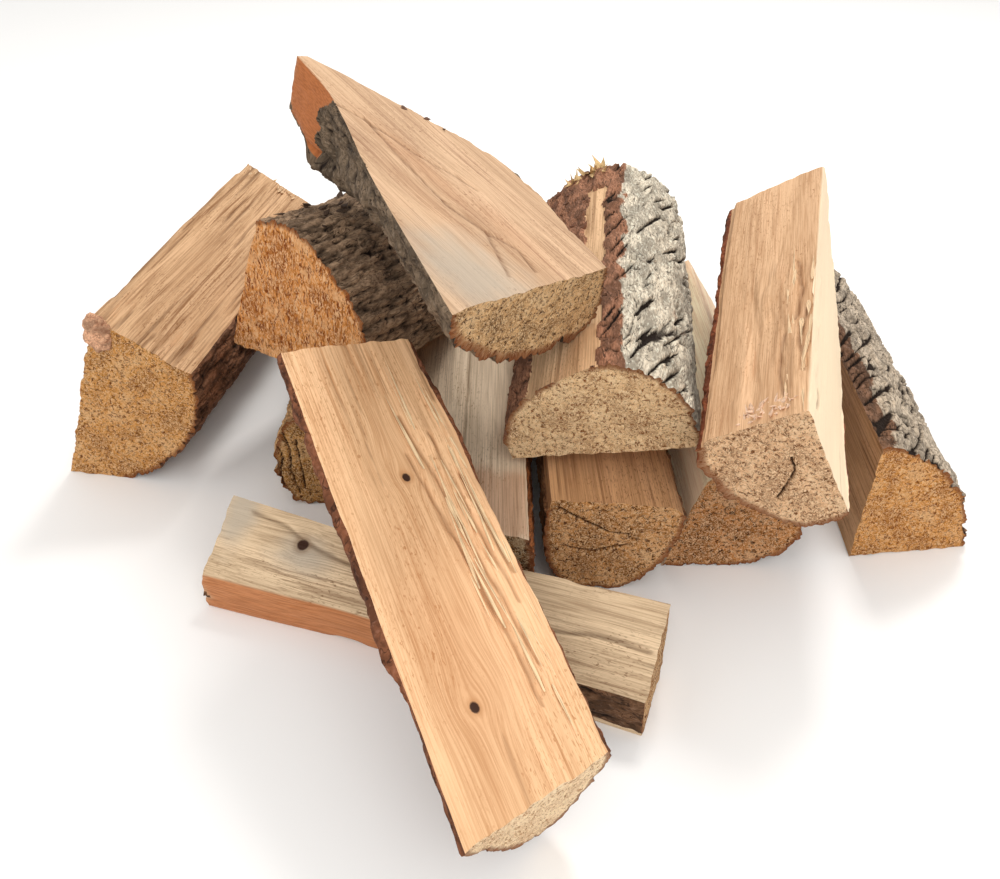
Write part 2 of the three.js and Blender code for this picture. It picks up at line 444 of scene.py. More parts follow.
def bark_relief(grain, arc, seed, look, sizes):
    """Height of the bark, and how open it is: 0 in a furrow and 1 on a ridge or a plate."""
    style = look["style"]
    warp = np.stack([noise(scaled(grain, 32, 60), seed + k) for k in (4, 5, 6)], 1)
    fine = layered(scaled(grain, 2.8, 8), seed + 8, 2)
    layers = terraces(layered(scaled(grain, 15, 34) + warp, seed + 2, 2) * 1.8)
    if style == "plates":
        slanted = np.stack([arc + 0.45 * grain[:, 2], arc * 0, grain[:, 2]], 1)
        least = 0.6 - 0.2 * look["furrows"]
        crack = smoothstep(least, least + 0.13, noise(scaled(slanted, 3.8, 38) + 0.3 * warp, seed))
        across = np.stack([arc * 0.3 + grain[:, 2], arc * 0, arc - 0.3 * grain[:, 2]], 1)
        split = smoothstep(least + 0.05, least + 0.2,
                           noise(scaled(across, 3.4, 20) + 0.3 * warp, seed + 1))
        edge = noise(scaled(slanted, 17, 60) + 0.4 * warp, seed + 3) / 0.045
        edge = np.exp(-edge ** 2) * smoothstep(-0.1, 0.3, noise(scaled(grain, 24, 40), seed + 7))
        furrow = np.clip(crack + 0.8 * split + 0.8 * edge, 0, 1)
        height = 0.35 * layers + 0.1 * fine - 0.75 * furrow
        return height * sizes.furrow_depth, 1 - furrow
    across, along = {"ridged": (8.5, 44), "smooth": (16, 80), "stringy": (3.2, 130)}[style]
    ridge = np.abs(noise(scaled(grain, across, along) + 0.45 * warp, seed)) / 0.42
    small = np.abs(noise(scaled(grain, across * 0.45, along * 0.4) + 0.6 * warp, seed + 1)) / 0.42
    gap = noise(scaled(grain, 13, 10) + warp, seed + 3) / 0.06
    gap = np.exp(-gap ** 2) * smoothstep(0.0, 0.4, noise(scaled(grain, 10, 20), seed + 7))
    lift = np.sqrt(np.minimum(ridge, 1))
    small = np.sqrt(np.minimum(small, 1))
    depth = {"ridged": 1.0, "smooth": 0.35, "stringy": 0.4}[style]
    height = depth * (0.75 * lift + 0.35 * small - 0.3 * gap - 0.9) + 0.28 * layers + 0.2 * fine
    return height * sizes.furrow_depth, np.clip(0.62 * lift + 0.38 * small - 0.5 * gap, 0, 1)


def zone(value, low, high, soft):
    """1 between low and high, with soft edges."""
    beyond = smoothstep(high - soft, high + soft, value)
    return smoothstep(low - soft, low + soft, value) * (1 - beyond)


def line_distance(points, line):
    """Distance from flat points to a line of several legs."""
    best = np.full(len(points), 9.0)
    for a, b in zip(line[:-1], line[1:]):
        a, b = np.array(a) * MM, np.array(b) * MM
        t = np.clip(((points - a) @ (b - a)) / ((b - a) @ (b - a)), 0, 1)
        best = np.minimum(best, np.linalg.norm(points - a - t[:, None] * (b - a), axis=1))
    return best


class SizeSettings(bpy.types.PropertyGroup):
    bark_spacing: bpy.props.FloatProperty(
        name="Bark spacing", description="Distance between points around the bark",
        default=1.15 * MM, unit="LENGTH", precision=4)
    split_spacing: bpy.props.FloatProperty(
        name="Split spacing", description="Distance between points across a split face",
        default=1.4 * MM, unit="LENGTH", precision=4)
    rows: bpy.props.IntProperty(
        name="Rows along", description="Rows of faces along a log", default=156, min=ROW_GROUP)
    undulation: bpy.props.FloatProperty(
        name="Undulation", description="How far a split face bends in and out",
        default=2.2 * MM, unit="LENGTH", precision=4)
    fibre_height: bpy.props.FloatProperty(
        name="Fibre height", description="Height of the ridges that torn fibres leave",
        default=0.8 * MM, unit="LENGTH", precision=4)
    furrow_depth: bpy.props.FloatProperty(
        name="Furrow depth", description="Depth of the furrows between bark plates",
        default=4.2 * MM, unit="LENGTH", precision=4)


class ColourSettings(bpy.types.PropertyGroup):
    floor: bpy.props.FloatVectorProperty(
        name="Floor", description="Colour of the pale studio floor", subtype="COLOR",
        size=3, min=0, max=1, default=linear("fbfbfb"))
    # The dark heart of a knot, also used for the ring round an end knot; in the cracks of a sawn end
    # it is painted shade.
    rot: bpy.props.FloatVectorProperty(
        name="Knots", description="Colour at the heart of a knot", subtype="COLOR",
        size=3, min=0, max=1, default=linear("3a2012"))
    stain: bpy.props.FloatVectorProperty(
        name="Stain", description="Grey-blue of damp, mildewed wood", subtype="COLOR",
        size=3, min=0, max=1, default=linear("b3a898"))
    rim: bpy.props.FloatVectorProperty(
        name="Inner bark", description="Red-brown ring just inside the bark on a sawn end",
        subtype="COLOR", size=3, min=0, max=1, default=linear("7a4425"))


# ---------------------------------------------------------------- modelling helpers

def deselect():
    if bpy.context.object and bpy.context.object.mode != "OBJECT":
        bpy.ops.object.mode_set(mode="OBJECT")
    bpy.ops.object.select_all(action="DESELECT")


def edit(mode):
    bpy.ops.object.mode_set(mode="EDIT")
    bpy.ops.mesh.select_mode(type=mode)
    bpy.ops.mesh.select_all(action="DESELECT")
    bpy.ops.object.mode_set(mode="OBJECT")


def billet(name, columns, rows, radius, length):
    """A round billet, its ends inset in rings and its side cut in rows, before it is carved."""
    deselect()
    bpy.ops.mesh.primitive_cylinder_add(vertices=columns, radius=radius, depth=length)
    obj = bpy.context.object
    obj.name = obj.data.name = name
    for top, rings in ((True, NEAR_RINGS), (False, FAR_RINGS)):
        edit("FACE")
        for face in obj.data.polygons:
            face.select = len(face.vertices) == columns and (face.center.z > 0) == top
        bpy.ops.object.mode_set(mode="EDIT")
        for _ in range(rings - 1):
            bpy.ops.mesh.inset(thickness=radius / rings, depth=0)
        bpy.ops.mesh.poke()
        bpy.ops.object.mode_set(mode="OBJECT")
    for n in (ROW_GROUP - 1, rows // ROW_GROUP - 1):
        if n < 1:
            continue
        edit("EDGE")
        z = coordinates(obj.data)[:, 2]
        ends = np.empty(len(obj.data.edges) * 2, np.int64)
        obj.data.edges.foreach_get("vertices", ends)
        ends = ends.reshape(-1, 2)
        upright = np.abs(z[ends[:, 0]] - z[ends[:, 1]]) > length * 1e-4
        obj.data.edges.foreach_set("select", upright)
        bpy.ops.object.mode_set(mode="EDIT")
        bpy.ops.mesh.subdivide(number_cuts=n)
        bpy.ops.object.mode_set(mode="OBJECT")
    return obj


def place_of(obj, columns, rows, radius, length):
    """Column, row and end ring of each point of an uncarved billet. Ring 0 is the side."""
    x, y, z = coordinates(obj.data).T
    column = (-np.round(np.arctan2(x, y) * columns / (2 * np.pi)).astype(int)) % columns
    row = np.round((0.5 - z / length) * rows).astype(int)
    reach = np.hypot(x, y) / radius
    rings = np.where(row == 0, NEAR_RINGS, np.where(row == rows, FAR_RINGS, 0))
    ring = np.round((1 - reach) * rings).astype(int)
    return column, row, ring


def cap_relief(grain, seed, look, near):
    """Rough sawn end, its open cracks and the knots in it: height, and how open it is."""
    marks = noise(np.stack([grain[:, 0] / 0.05, grain[:, 1] / 0.0045, grain[:, 2] * 0], 1), seed)
    tufts = layered(scaled(grain, 4.2, NO_CHANGE), seed + 1, 2)
    lumps = noise(scaled(grain, 20, NO_CHANGE), seed + 2)
    height = (0.3 * marks + 0.9 * tufts + 1.2 * lumps) * MM
    open_ = np.ones(len(grain))
    wobble = grain[:, :2] + 0.7 * MM * np.stack([tufts, -tufts], 1)
    for line in look.get("end_cracks", []) if near else []:
        gap = np.exp(-(line_distance(wobble, line) / (0.9 * MM)) ** 2)
        height, open_ = height - gap * 3 * MM, open_ - gap
    for u, v, radius in look.get("end_knots", []) if near else []:
        away = np.hypot(wobble[:, 0] / MM - u, wobble[:, 1] / MM - v) / radius
        ring = np.exp(-((away - 1) / 0.22) ** 2)
        height, open_ = height - ring * MM, open_ - 0.75 * ring
    return height, np.clip(open_, 0, 1)


class Side:
    """The side of a log before it is carved: a grid of points, rows along the log by columns
    around it, with each point's place in the log and the way that it faces."""

    def __init__(self, solid, look, sizes, rows):
        grid = outline(solid, look["bark"], sizes, rows)
        self.columns = grid.shape[1]
        self.barked = within(facing(solid, outward(solid, grid)), look["bark"])
        mean = grid.mean(0)
        ahead, behind = np.roll(mean, -1, 0) - mean, mean - np.roll(mean, 1, 0)
        self.turn = ((ahead * behind).sum(1) / np.linalg.norm(ahead, axis=1)
                     / np.linalg.norm(behind, axis=1))
        self.grid = self.round_bark(grid)
        self.normal = outward(solid, self.grid)
        self.place = solid.local(self.grid.reshape(-1, 3))
        self.grain = self.place - np.array([*look["pith"], 0]) * MM
        self.faces = np.degrees(
            np.arctan2(self.normal @ solid.up, self.normal @ solid.right)).ravel()
        turned = facing(solid, self.grid - self.grid.mean(1, keepdims=True))
        self.arc = np.tile(np.unwrap(np.radians(turned)), rows + 1) * BARK_RADIUS
        self.share = np.repeat(np.linspace(0, 1, rows + 1), self.columns)
        self.upward = smoothstep(0.15, 0.4, (self.normal @ solid.up).ravel())
        self.ragged = layered(scaled(self.grain, 12, 22), look["seed"] * SEED_STEP + 15, 2)

    def round_bark(self, grid):
        """Rounds the bark's facets, but keeps the corners where it meets a split face."""
        free = self.barked * (self.turn > math.cos(BARK_CORNER))
        free = np.minimum(free, np.minimum(np.roll(free, 1), np.roll(free, -1)))[None, :, None]
        for _ in range(SIDE_SMOOTHING):
            grid = grid + 0.5 * free * ((np.roll(grid, 1, 1) + np.roll(grid, -1, 1)) / 2 - grid)
        return grid


def strongest(size, masks):
    """The strongest of several masks at each point, and 0 where there is none."""
    return np.max([np.zeros(size), *masks], axis=0)


def find_zones(side, look):
    """How much bark, torn fibre, orange wood (painted shadow on log_smooth_low), stain, knot and pale
    wood each point has.
    """
    u, w, ragged, upward = side.place[:, 0] / MM, side.place[:, 2] / MM, side.ragged, side.upward

    def away(right, along, wide, long):
        return np.hypot((u - right) / wide, (w - along) / long)

    bark = np.tile(side.barked, len(u) // side.columns)
    for low, high, start, end in look.get("bare", []):
        off = within(side.faces + 5 * ragged, (low, high)) * (
            np.abs(side.share + 0.03 * ragged - (start + end) / 2) <= (end - start) / 2)
        bark = np.where(off > 0, 0.0, bark)
    # Orange wood, and on log_smooth_low painted shadow cast by log_half_round.
    amber_and_shade = [strength * within(side.faces, (low, high))
             * zone(side.share + 0.03 * ragged, start, end, 0.03)
             for low, high, start, end, strength in look.get("amber_and_shade", [])]
    warm = [strength * np.exp(-(away(*patch) + 0.15 * ragged) ** 2) * upward
            for *patch, strength in look.get("warm", [])]
    torn = [zone(u + 6 * ragged, left, right, 5) * zone(w, start, end, 18) * upward
            for left, right, start, end in look.get("torn", [])]
    rough = [zone(u, left, right, 5) * zone(w + 14 * ragged, start, end, 10) * upward
             for left, right, start, end in look.get("grooved", [])]
    stain = [(1 - smoothstep(0.2, 1.2, away(*patch) + 0.2 * ragged)) * upward
             for patch in look.get("stains", [])]
    knot = [np.exp(-(np.hypot(u - right, (w - along) * 0.8) / radius) ** 2) * upward
            for right, along, radius in look.get("knots", [])]
    pale = []
    if "cream" in look:
        pale.append(0.8 * within(side.faces, look["cream"]))
    if "pale" in look:
        turned = np.degrees(np.arctan2(side.place[:, 1], side.place[:, 0]))
        pale.append(within(turned + 7 * ragged, look["pale"])
                    * smoothstep(-1.0, -0.2, ragged + 0.5))
    found = dict(amber_and_shade=amber_and_shade + warm, torn=torn, rough=rough, stain=stain, knot=knot, pale=pale)
    zones = {title: strongest(len(u), masks) for title, masks in found.items()}
    return dict(zones, bark=bark)


def bend_grain(side, look, seed):
    """The grain, drawn in around each knot and swaying along the log."""
    pattern = side.grain.copy()
    for right, along, radius in look.get("swirls", []) + look.get("knots", []):
        du, dw = side.place[:, 0] / MM - right, side.place[:, 2] / MM - along
        near = np.exp(-(dw / (3.2 * radius)) ** 2 - (du / (2.4 * radius)) ** 2)
        pattern[:, 0] -= 0.5 * near * du * MM * side.upward
    pattern[:, 0] += 1.6 * MM * noise(scaled(side.grain, 60, 140), seed + 16)
    return pattern


def side_relief(side, look, zones, pattern, sizes, seed):
    """Height of the side over the plain log, and how open it is."""
    wood_height, wood_open = split_relief(
        pattern, seed, look, zones["torn"], zones["rough"], sizes)
    skin_height, skin_open = bark_relief(side.grain, side.arc, seed, look, sizes)
    grid = zones["bark"].reshape(-1, side.columns)
    skin = (grid + np.roll(grid, 1, 1) + np.roll(grid, -1, 1)).ravel() / 3
    height = wood_height * (1 - skin) + (skin_height + 0.2 * sizes.furrow_depth) * skin
    open_ = wood_open * (1 - skin) + skin_open * skin
    sway = 0.9 * MM * noise(scaled(side.grain, 9, 16), seed + 17)
    track = np.stack([side.place[:, 0] + sway, side.place[:, 2]], 1)
    for line in look.get("cracks", []):
        gap = np.exp(-(line_distance(track, line) / CRACK_WIDTH) ** 2) * side.upward * (1 - skin)
        height, open_ = height - gap * CRACK_DEPTH, open_ * (1 - gap)
    height = height - zones["knot"] * KNOT_DEPTH
    for low, high, start, end, thick in look.get("swell", []):
        there = zone((side.faces - low) % 360, 8, high - low - 8, 8)
        along = zone(side.share + 0.02 * side.ragged, start, end, 0.03)
        height = height + thick * MM * skin * there * (along * (1 + 0.25 * side.ragged))
    chip = smoothstep(0.2, 0.8, noise(scaled(side.grain, 7, 45), seed + 9))
    corner = smoothstep(0.02, 0.3, 1 - side.turn)
    corner = np.maximum(corner, 0.5 * np.maximum(np.roll(corner, 1), np.roll(corner, -1)))
    height = height - chip * np.tile(corner, len(grid)) * EDGE_CHIP
    return height, open_, skin


def carve_cap(solid, side, carved, end, ring, column, rings, out, look, seed):
    """Points of one sawn end, with their pattern and how open they are. The rings outside follow
    the carved side, and those inside the flat cut."""
    hub = side.grid[end].mean(0)
    base = side.grid[end][column]
    inward = (ring / rings)[:, None]
    flat = base * (1 - inward) + hub * inward
    fade = np.exp(-ring / RIM_FADE)[:, None]
    place = solid.local(flat)
    lift, gap = cap_relief(place, seed + 20 + end, look, end == 0)
    points = flat + (carved[end][column] - base) * fade + out * (lift * (1 - fade[:, 0]))[:, None]
    return points, flat, place - np.array([*look["pith"], 0]) * MM, gap


def carve(name, look, sizes):
    """One log: a billet carved to its solid's shape, with split faces, bark and sawn ends."""
    solid = Solid(name)
    seed = look["seed"] * SEED_STEP
    rows = sizes.rows // ROW_GROUP * ROW_GROUP
    side = Side(solid, look, sizes, rows)
    columns = side.columns
    zones = find_zones(side, look)
    pattern = bend_grain(side, look, seed)
    height, open_, skin = side_relief(side, look, zones, pattern, sizes, seed)

    # The ends are chipped, and not quite straight.
    at_end = np.exp(-np.minimum(side.share, 1 - side.share) * solid.length / END_REACH)
    crumble = smoothstep(0.1, 0.9, noise(scaled(side.grain, 6, NO_CHANGE), seed + 10))
    height = height - at_end * crumble * (0.8 + 1.6 * skin) * MM
    push = at_end * noise(scaled(side.grain, 9, NO_CHANGE), seed + 11) * END_WAVE
    carved = side.grid.reshape(-1, 3) + side.normal.reshape(-1, 3) * height[:, None]
    carved = carved + solid.axis * (push * np.sign(0.5 - side.share))[:, None]
    carved = carved.reshape(rows + 1, columns, 3)

    middles = side.grid.mean(1, keepdims=True)
    radius = float(np.linalg.norm(side.grid - middles, axis=2).mean())
    obj = billet(name.replace("log_", "wood_"), columns, rows, radius, solid.length)
    column, row, ring = place_of(obj, columns, rows, radius, solid.length)
    at = row * columns + column
    points, pattern, open_ = carved[row, column].copy(), pattern[at], open_[at]
    rim = np.full(len(points), 1.0)
    cap = ring > 0
    for end, rings, out in ((0, NEAR_RINGS, solid.near_normal), (rows, FAR_RINGS, solid.axis)):
        there, every = (row == end) & cap, row == end
        points[there], flat, pattern[there], open_[there] = carve_cap(
            solid, side, carved, end, ring[there], column[there], rings, out, look, seed)
        skin = side.grid[end][zones["bark"][end * columns:(end + 1) * columns] > 0.5]
        if len(skin):
            ends = side.grid[end][column[every]]
            ends[cap[every]] = flat
            gaps = np.linalg.norm(ends[:, None] - skin[None], axis=2).min(1)
            rim[every] = np.clip(gaps / RIM_REACH, 0, 1)
    points[:, 2] = np.maximum(points[:, 2], FLOOR_CLEARANCE)
    obj.data.vertices.foreach_set("co", points.ravel())
    obj.location = (0, 0, 0)

    store(obj, "grain", "FLOAT_VECTOR", pattern)
    store(obj, "open", "FLOAT", open_)
    store(obj, "rim", "FLOAT", rim)
    for title in ("amber_and_shade", "stain", "knot", "pale"):
        store(obj, title, "FLOAT", np.where(cap, 0.0, zones[title][at]))
    sort_faces(obj, column, row, zones["bark"].reshape(rows + 1, columns))
    finish_shading(obj)
    return obj


def store(obj, name, kind, values):
    """Gives a mesh a value at each point, for its materials to read."""
    attribute = obj.data.attributes.new(name, kind, "POINT")
    key = "vector" if kind == "FLOAT_VECTOR" else "value"
    attribute.data.foreach_set(key, np.ascontiguousarray(values, np.float32).ravel())


def sort_faces(obj, column, row, bark):
    """Material 0 is split wood, 1 is bark and 2 is a sawn end."""
    mesh = obj.data
    start = np.empty(len(mesh.polygons), np.int64)
    mesh.polygons.foreach_get("loop_start", start)
    loops = loop_points(mesh)
    a, b, c = (loops[start + k] for k in range(3))
    sawn = (row[a] == row[b]) & (row[b] == row[c])
    skin = np.maximum(bark[row[a], column[a]], bark[row[c], column[c]]) > 0.5
    index = np.where(sawn, 2, np.where(skin, 1, 0)).astype(np.int32)
    mesh.polygons.foreach_set("material_index", index)
    mesh.update()


def finish_shading(obj):
    deselect()
    obj.select_set(True)
    bpy.context.view_layer.objects.active = obj
    bpy.ops.object.mode_set(mode="EDIT")
    bpy.ops.mesh.select_all(action="SELECT")
    bpy.ops.mesh.normals_make_consistent(inside=False)
    bpy.ops.object.mode_set(mode="OBJECT")
    bpy.ops.object.shade_smooth_by_angle(angle=SMOOTH_UNDER)


# ---------------------------------------------------------------- materials

def new_material(name):
    material = bpy.data.materials.new(name)
    material.use_nodes = True
    material.node_tree.nodes.clear()
    return material, material.node_tree


def add(tree, kind, inputs=None, **settings):
    """Adds a node with its settings, and links or sets its inputs."""
    node = tree.nodes.new("ShaderNode" + kind)
    for key, value in settings.items():
        setattr(node, key, value)
    for key, value in (inputs or {}).items():
        if isinstance(value, bpy.types.NodeSocket):
            tree.links.new(value, node.inputs[key])
        else:
            node.inputs[key].default_value = value
    return node


def ramp(tree, source, stops):
    node = add(tree, "ValToRGB", {"Fac": source})
    elements = node.color_ramp.elements
    while len(elements) < len(stops):
        elements.new(0.5)
    for element, (at, colour) in zip(elements, stops):
        element.position = at
        element.color = (*colour, 1)
    return node.outputs["Color"]


def grey(*stops):
    return [(at, (v, v, v)) for at, v in stops]


def streaks(tree, across, along, detail=2.0, distortion=0.0):
    """Noise drawn out along the grain: so many mm across and along. Real fibres and pores are
    under 0.3 mm wide. The finest here are drawn 0.7 to 0.9 mm wide, so that they show."""
    grain = add(tree, "Attribute", attribute_name="grain")
    stretched = add(tree, "Mapping", {
        "Vector": grain.outputs["Vector"],
        "Scale": (1 / (across * MM), 1 / (across * MM), 1 / (along * MM))})
    return add(tree, "TexNoise", {
        "Vector": stretched.outputs["Vector"], "Scale": 1.0, "Detail": detail,
        "Distortion": distortion}).outputs["Fac"]


def mix(tree, factor, a, b):
    """A colour between two, each of them a value or a socket."""
    a, b = ((*c, 1) if isinstance(c, (tuple, list)) else c for c in (a, b))
    node = add(tree, "Mix", data_type="RGBA")
    for socket, value in ((0, factor), (6, a), (7, b)):
        if isinstance(value, bpy.types.NodeSocket):
            tree.links.new(value, node.inputs[socket])
        else:
            node.inputs[socket].default_value = value
    return node.outputs[2]


def surface(tree, colour, roughness, height, distance, specular=0.3):
    """Ends a material: matt, with fine relief of so many metres."""
    bump = add(tree, "Bump", {"Height": height, "Strength": 1.0, "Distance": distance})
    shader = add(tree, "BsdfPrincipled", {
        "Base Color": colour, "Roughness": roughness, "Specular IOR Level": specular,
        "Normal": bump.outputs["Normal"]})
    add(tree, "OutputMaterial", {"Surface": shader.outputs["BSDF"]})


def named(tree, name):
    return add(tree, "Attribute", attribute_name=name).outputs["Fac"]


def times(tree, a, b):
    """The product of two shades, as a number."""
    return add(tree, "Math", {0: a, 1: b}, operation="MULTIPLY").outputs["Value"]


def tint(tree, colour, target, source, *stops):
    """Moves a colour towards another, as far as the stops say for each value of the source."""
    return mix(tree, ramp(tree, source, grey(*stops)), colour, target)


def shade(colour, factor, plus=0.0):
    return [min(1.0, c * factor + plus) for c in colour]


def blend(a, b, share):
    return [x * (1 - share) + y * share for x, y in zip(a, b)]


def split_wood(name, light, dark, groove):
    """Hardwood torn along its fibres: pale, silky streaks with darker growth lines and pores."""
    material, tree = new_material(name)
    light, dark = linear(light), linear(dark)
    colours = bpy.context.scene.firewood_colours
    broad = streaks(tree, 20, 260, distortion=0.2)
    lines = streaks(tree, 2.8, 230)
    fine = streaks(tree, 0.9, 70)
    pores = streaks(tree, 0.7, 5, 1.0)
    specks = streaks(tree, 2.2, 4.0)
    worn = ramp(tree, streaks(tree, 30, 85), grey((0.4, 0.15), (0.6, 1.0)))
    pale = shade(light, 1.14, 0.02)
    colour = ramp(tree, broad, [(0.36, blend(light, dark, 0.22)), (0.5, light), (0.64, pale)])

    # Growth lines that follow the broad streaks, then fibres, pores and specks.
    contour = add(tree, "Math", {0: times(tree, broad, 42.0)}, operation="SINE").outputs["Value"]
    colour = tint(tree, colour, dark, contour, (0.7, 0.0), (1.0, 0.16))
    dull = ramp(tree, lines, grey((0.54, 0.0), (0.63, min(1.0, 0.3 + 0.4 * groove))))
    colour = mix(tree, times(tree, dull, worn), colour, dark)
    colour = tint(tree, colour, dark, fine, (0.36, 0.34), (0.52, 0.0))
    colour = tint(tree, colour, pale, fine, (0.54, 0.0), (0.66, 0.4))
    for spots, low, high, strength in ((pores, 0.6, 0.68, 0.6), (specks, 0.66, 0.7, 0.7)):
        spots = ramp(tree, spots, grey((low, 0.0), (high, strength)))
        colour = mix(tree, times(tree, spots, worn), colour, dark)

    # Clean cream faces, orange heartwood (painted shadow on log_smooth_low), damp stain, the dark of
    # open grooves and cracks (partly the wood's own dark lines, partly painted shade in the hollows),
    # and knots.
    colour = mix(tree, named(tree, "pale"), colour, linear("f6e2c2"))
    orange = tint(tree, linear("b66c38"), linear("8a4e28"), fine, (0.35, 0.6), (0.6, 0.0))
    # Orange heartwood; on log_smooth_low the same orange is painted shadow.
    colour = mix(tree, named(tree, "amber_and_shade"), colour, orange)
    damp = times(tree, named(tree, "stain"), 0.75)
    colour = mix(tree, damp, colour, tuple(colours.stain))
    # Darker in grooves and cracks: partly the wood's own dark lines, partly painted shade in the
    # hollows.
    colour = tint(tree, colour, shade(dark, 0.55), named(tree, "open"), (0.0, 0.6), (0.7, 0.0))
    heart = named(tree, "knot")
    colour = tint(tree, colour, dark, heart, (0.03, 0.0), (0.3, 0.4))
    colour = tint(tree, colour, tuple(colours.rot), heart, (0.42, 0.0), (0.62, 1.0))
    height = mix(tree, 0.45, fine, lines)
    roughness = ramp(tree, fine, grey((0.3, 0.85), (0.7, 0.66)))
    surface(tree, colour, roughness, height, 0.8 * MM)
    return material


def sawn_end(name, light, dark, run):
    """End grain off a coarse saw: fuzzy tufts and dark pits, darker than the split face. Real
    tufts are under a mm wide. They are drawn 2 to 3 mm wide, so that they show."""
    material, tree = new_material(name)
    light, dark = linear(light), linear(dark)
    colours = bpy.context.scene.firewood_colours
    grain = add(tree, "Attribute", attribute_name="grain").outputs["Vector"]
    flat = add(tree, "Mapping", {"Vector": grain, "Scale": (1, 1, 0.02)}).outputs["Vector"]
    drawn = add(tree, "Mapping", {"Vector": grain, "Scale": (1, run, 0.02)}).outputs["Vector"]
    wobble = add(tree, "TexNoise", {"Vector": flat, "Scale": 35.0, "Detail": 2.0})
    reach = add(tree, "VectorMath", {0: flat}, operation="LENGTH").outputs["Value"]
    swayed = add(tree, "Math", {0: wobble.outputs["Fac"], 1: 8 * MM, 2: reach},
                 operation="MULTIPLY_ADD").outputs["Value"]
    turns = times(tree, swayed, 2 * math.pi / GROWTH_RING)
    rings = add(tree, "Math", {0: turns}, operation="SINE").outputs["Value"]
    pits = add(tree, "TexNoise", {"Vector": drawn, "Scale": 1 / (3.2 * MM), "Detail": 4.0,
                                  "Roughness": 0.7, "Distortion": 0.6}).outputs["Fac"]
    tuft = add(tree, "TexNoise", {"Vector": drawn, "Scale": 1 / (2.1 * MM), "Detail": 4.0,
                                  "Roughness": 0.72, "Distortion": 1.6}).outputs["Fac"]
    patch = add(tree, "TexNoise", {
        "Vector": flat, "Scale": 1 / (26 * MM), "Detail": 3.0}).outputs["Fac"]
    pale = blend(light, linear("fff0cc"), 0.34)
    colour = ramp(tree, patch, [
        (0.4, blend(light, dark, 0.5)), (0.53, light), (0.64, blend(light, pale, 0.5))])
    colour = tint(tree, colour, dark, rings, (0.2, 0.0), (1.0, 0.14))
    colour = tint(tree, colour, dark, pits, (0.42, 1.0), (0.48, 0.0))
    colour = tint(tree, colour, pale, tuft, (0.51, 0.0), (0.56, 0.95))
    colour = tint(tree, colour, shade(dark, 0.45), tuft, (0.36, 0.8), (0.42, 0.0))
    colour = tint(tree, colour, tuple(colours.rim), named(tree, "rim"),
                  (0.0, 0.9), (0.14, 0.7), (0.32, 0.0))
    # End cracks go to the dark knot colour as painted shade in the cracks; the ring round an end knot
    # is its own dark.
    colour = tint(tree, colour, tuple(colours.rot), named(tree, "open"), (0.1, 1.0), (0.7, 0.0))
    roughness = ramp(tree, tuft, grey((0.3, 0.95), (0.7, 0.8)))
    surface(tree, colour, roughness, mix(tree, 0.5, pits, tuft), 3.4 * MM, 0.15)
    return material


def bark_skin(name, plate, furrow, inner):
    """Dry bark: rough ridges over black-brown furrows, weathered pale where they are old. The furrows
    are partly the bark's own dark and partly painted shade.
    """
    material, tree = new_material(name)
    plate, furrow, inner = linear(plate), linear(furrow), linear(inner)
    open_ = named(tree, "open")
    coarse = streaks(tree, 11, 24, 3.0, 0.5)
    fine = streaks(tree, 1.5, 4.0, 4.0, 0.5)
    hair = streaks(tree, 6, 22, 3.0, 0.8)
    weathered = ramp(tree, coarse, [
        (0.38, shade(plate, 0.6)), (0.52, plate), (0.64, shade(plate, 1.25))])
    weathered = tint(tree, weathered, shade(plate, 0.45), fine, (0.38, 0.8), (0.5, 0.0))
    weathered = tint(tree, weathered, shade(plate, 1.7, 0.08), fine, (0.56, 0.0), (0.64, 0.45))
    deep = shade(inner, 0.55)
    young = ramp(tree, coarse, [(0.4, deep), (0.5, inner), (0.64, shade(inner, 1.3))])
    young = tint(tree, young, deep, fine, (0.4, 0.7), (0.5, 0.0))
    young = tint(tree, young, shade(inner, 1.7, 0.06), fine, (0.56, 0.0), (0.66, 0.3))
    colour = mix(tree, named(tree, "pale"), young, weathered)
    colour = tint(tree, colour, furrow, hair,
                  (0.485, 0.0), (0.497, 0.8), (0.503, 0.8), (0.515, 0.0))
    # Darker in the furrows: partly the bark's own dark, partly painted shade in the recesses.
    colour = tint(tree, colour, furrow, open_, (0.2, 1.0), (0.72, 0.0))
    roughness = ramp(tree, fine, grey((0.3, 0.95), (0.7, 0.75)))
    surface(tree, colour, roughness, mix(tree, 0.35, fine, hair), 2.8 * MM, 0.2)
    return material


def torn_fibre(name, colour):
    """Torn splinters and strings: one matt colour, paler and darker along the fibre."""
    material, tree = new_material(name)
    base = linear(colour)
    fine = streaks(tree, 0.8, 16)
    streaked = ramp(tree, fine, [(0.36, shade(base, 0.6)), (0.56, base)])
    surface(tree, streaked, 0.8, fine, 0.3 * MM)
    return material


def dress(obj, look):
    """Gives a log its three finishes, in the order that sort_faces numbers them."""
    title = obj.name.replace("wood_", "")
    obj.data.materials.append(split_wood("split wood " + title, *look["split"], look["groove"]))
    plate, furrow = look["skin"]
    obj.data.materials.append(bark_skin("bark " + title, plate, furrow,
                                        look.get("inner", plate)))
    obj.data.materials.append(sawn_end("sawn end " + title, *look["sawn"],
                                       look.get("saw_run", 1.0)))


def build_logs(slot):
    """Carves and finishes every log whose main surface is of one kind."""
    sizes = bpy.context.scene.firewood_sizes
    for name, look in LOGS.items():
        if look["slot"] != slot:
            continue
        obj = carve(name, look, sizes)
        dress(obj, look)
        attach(obj, "root")
        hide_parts(name)


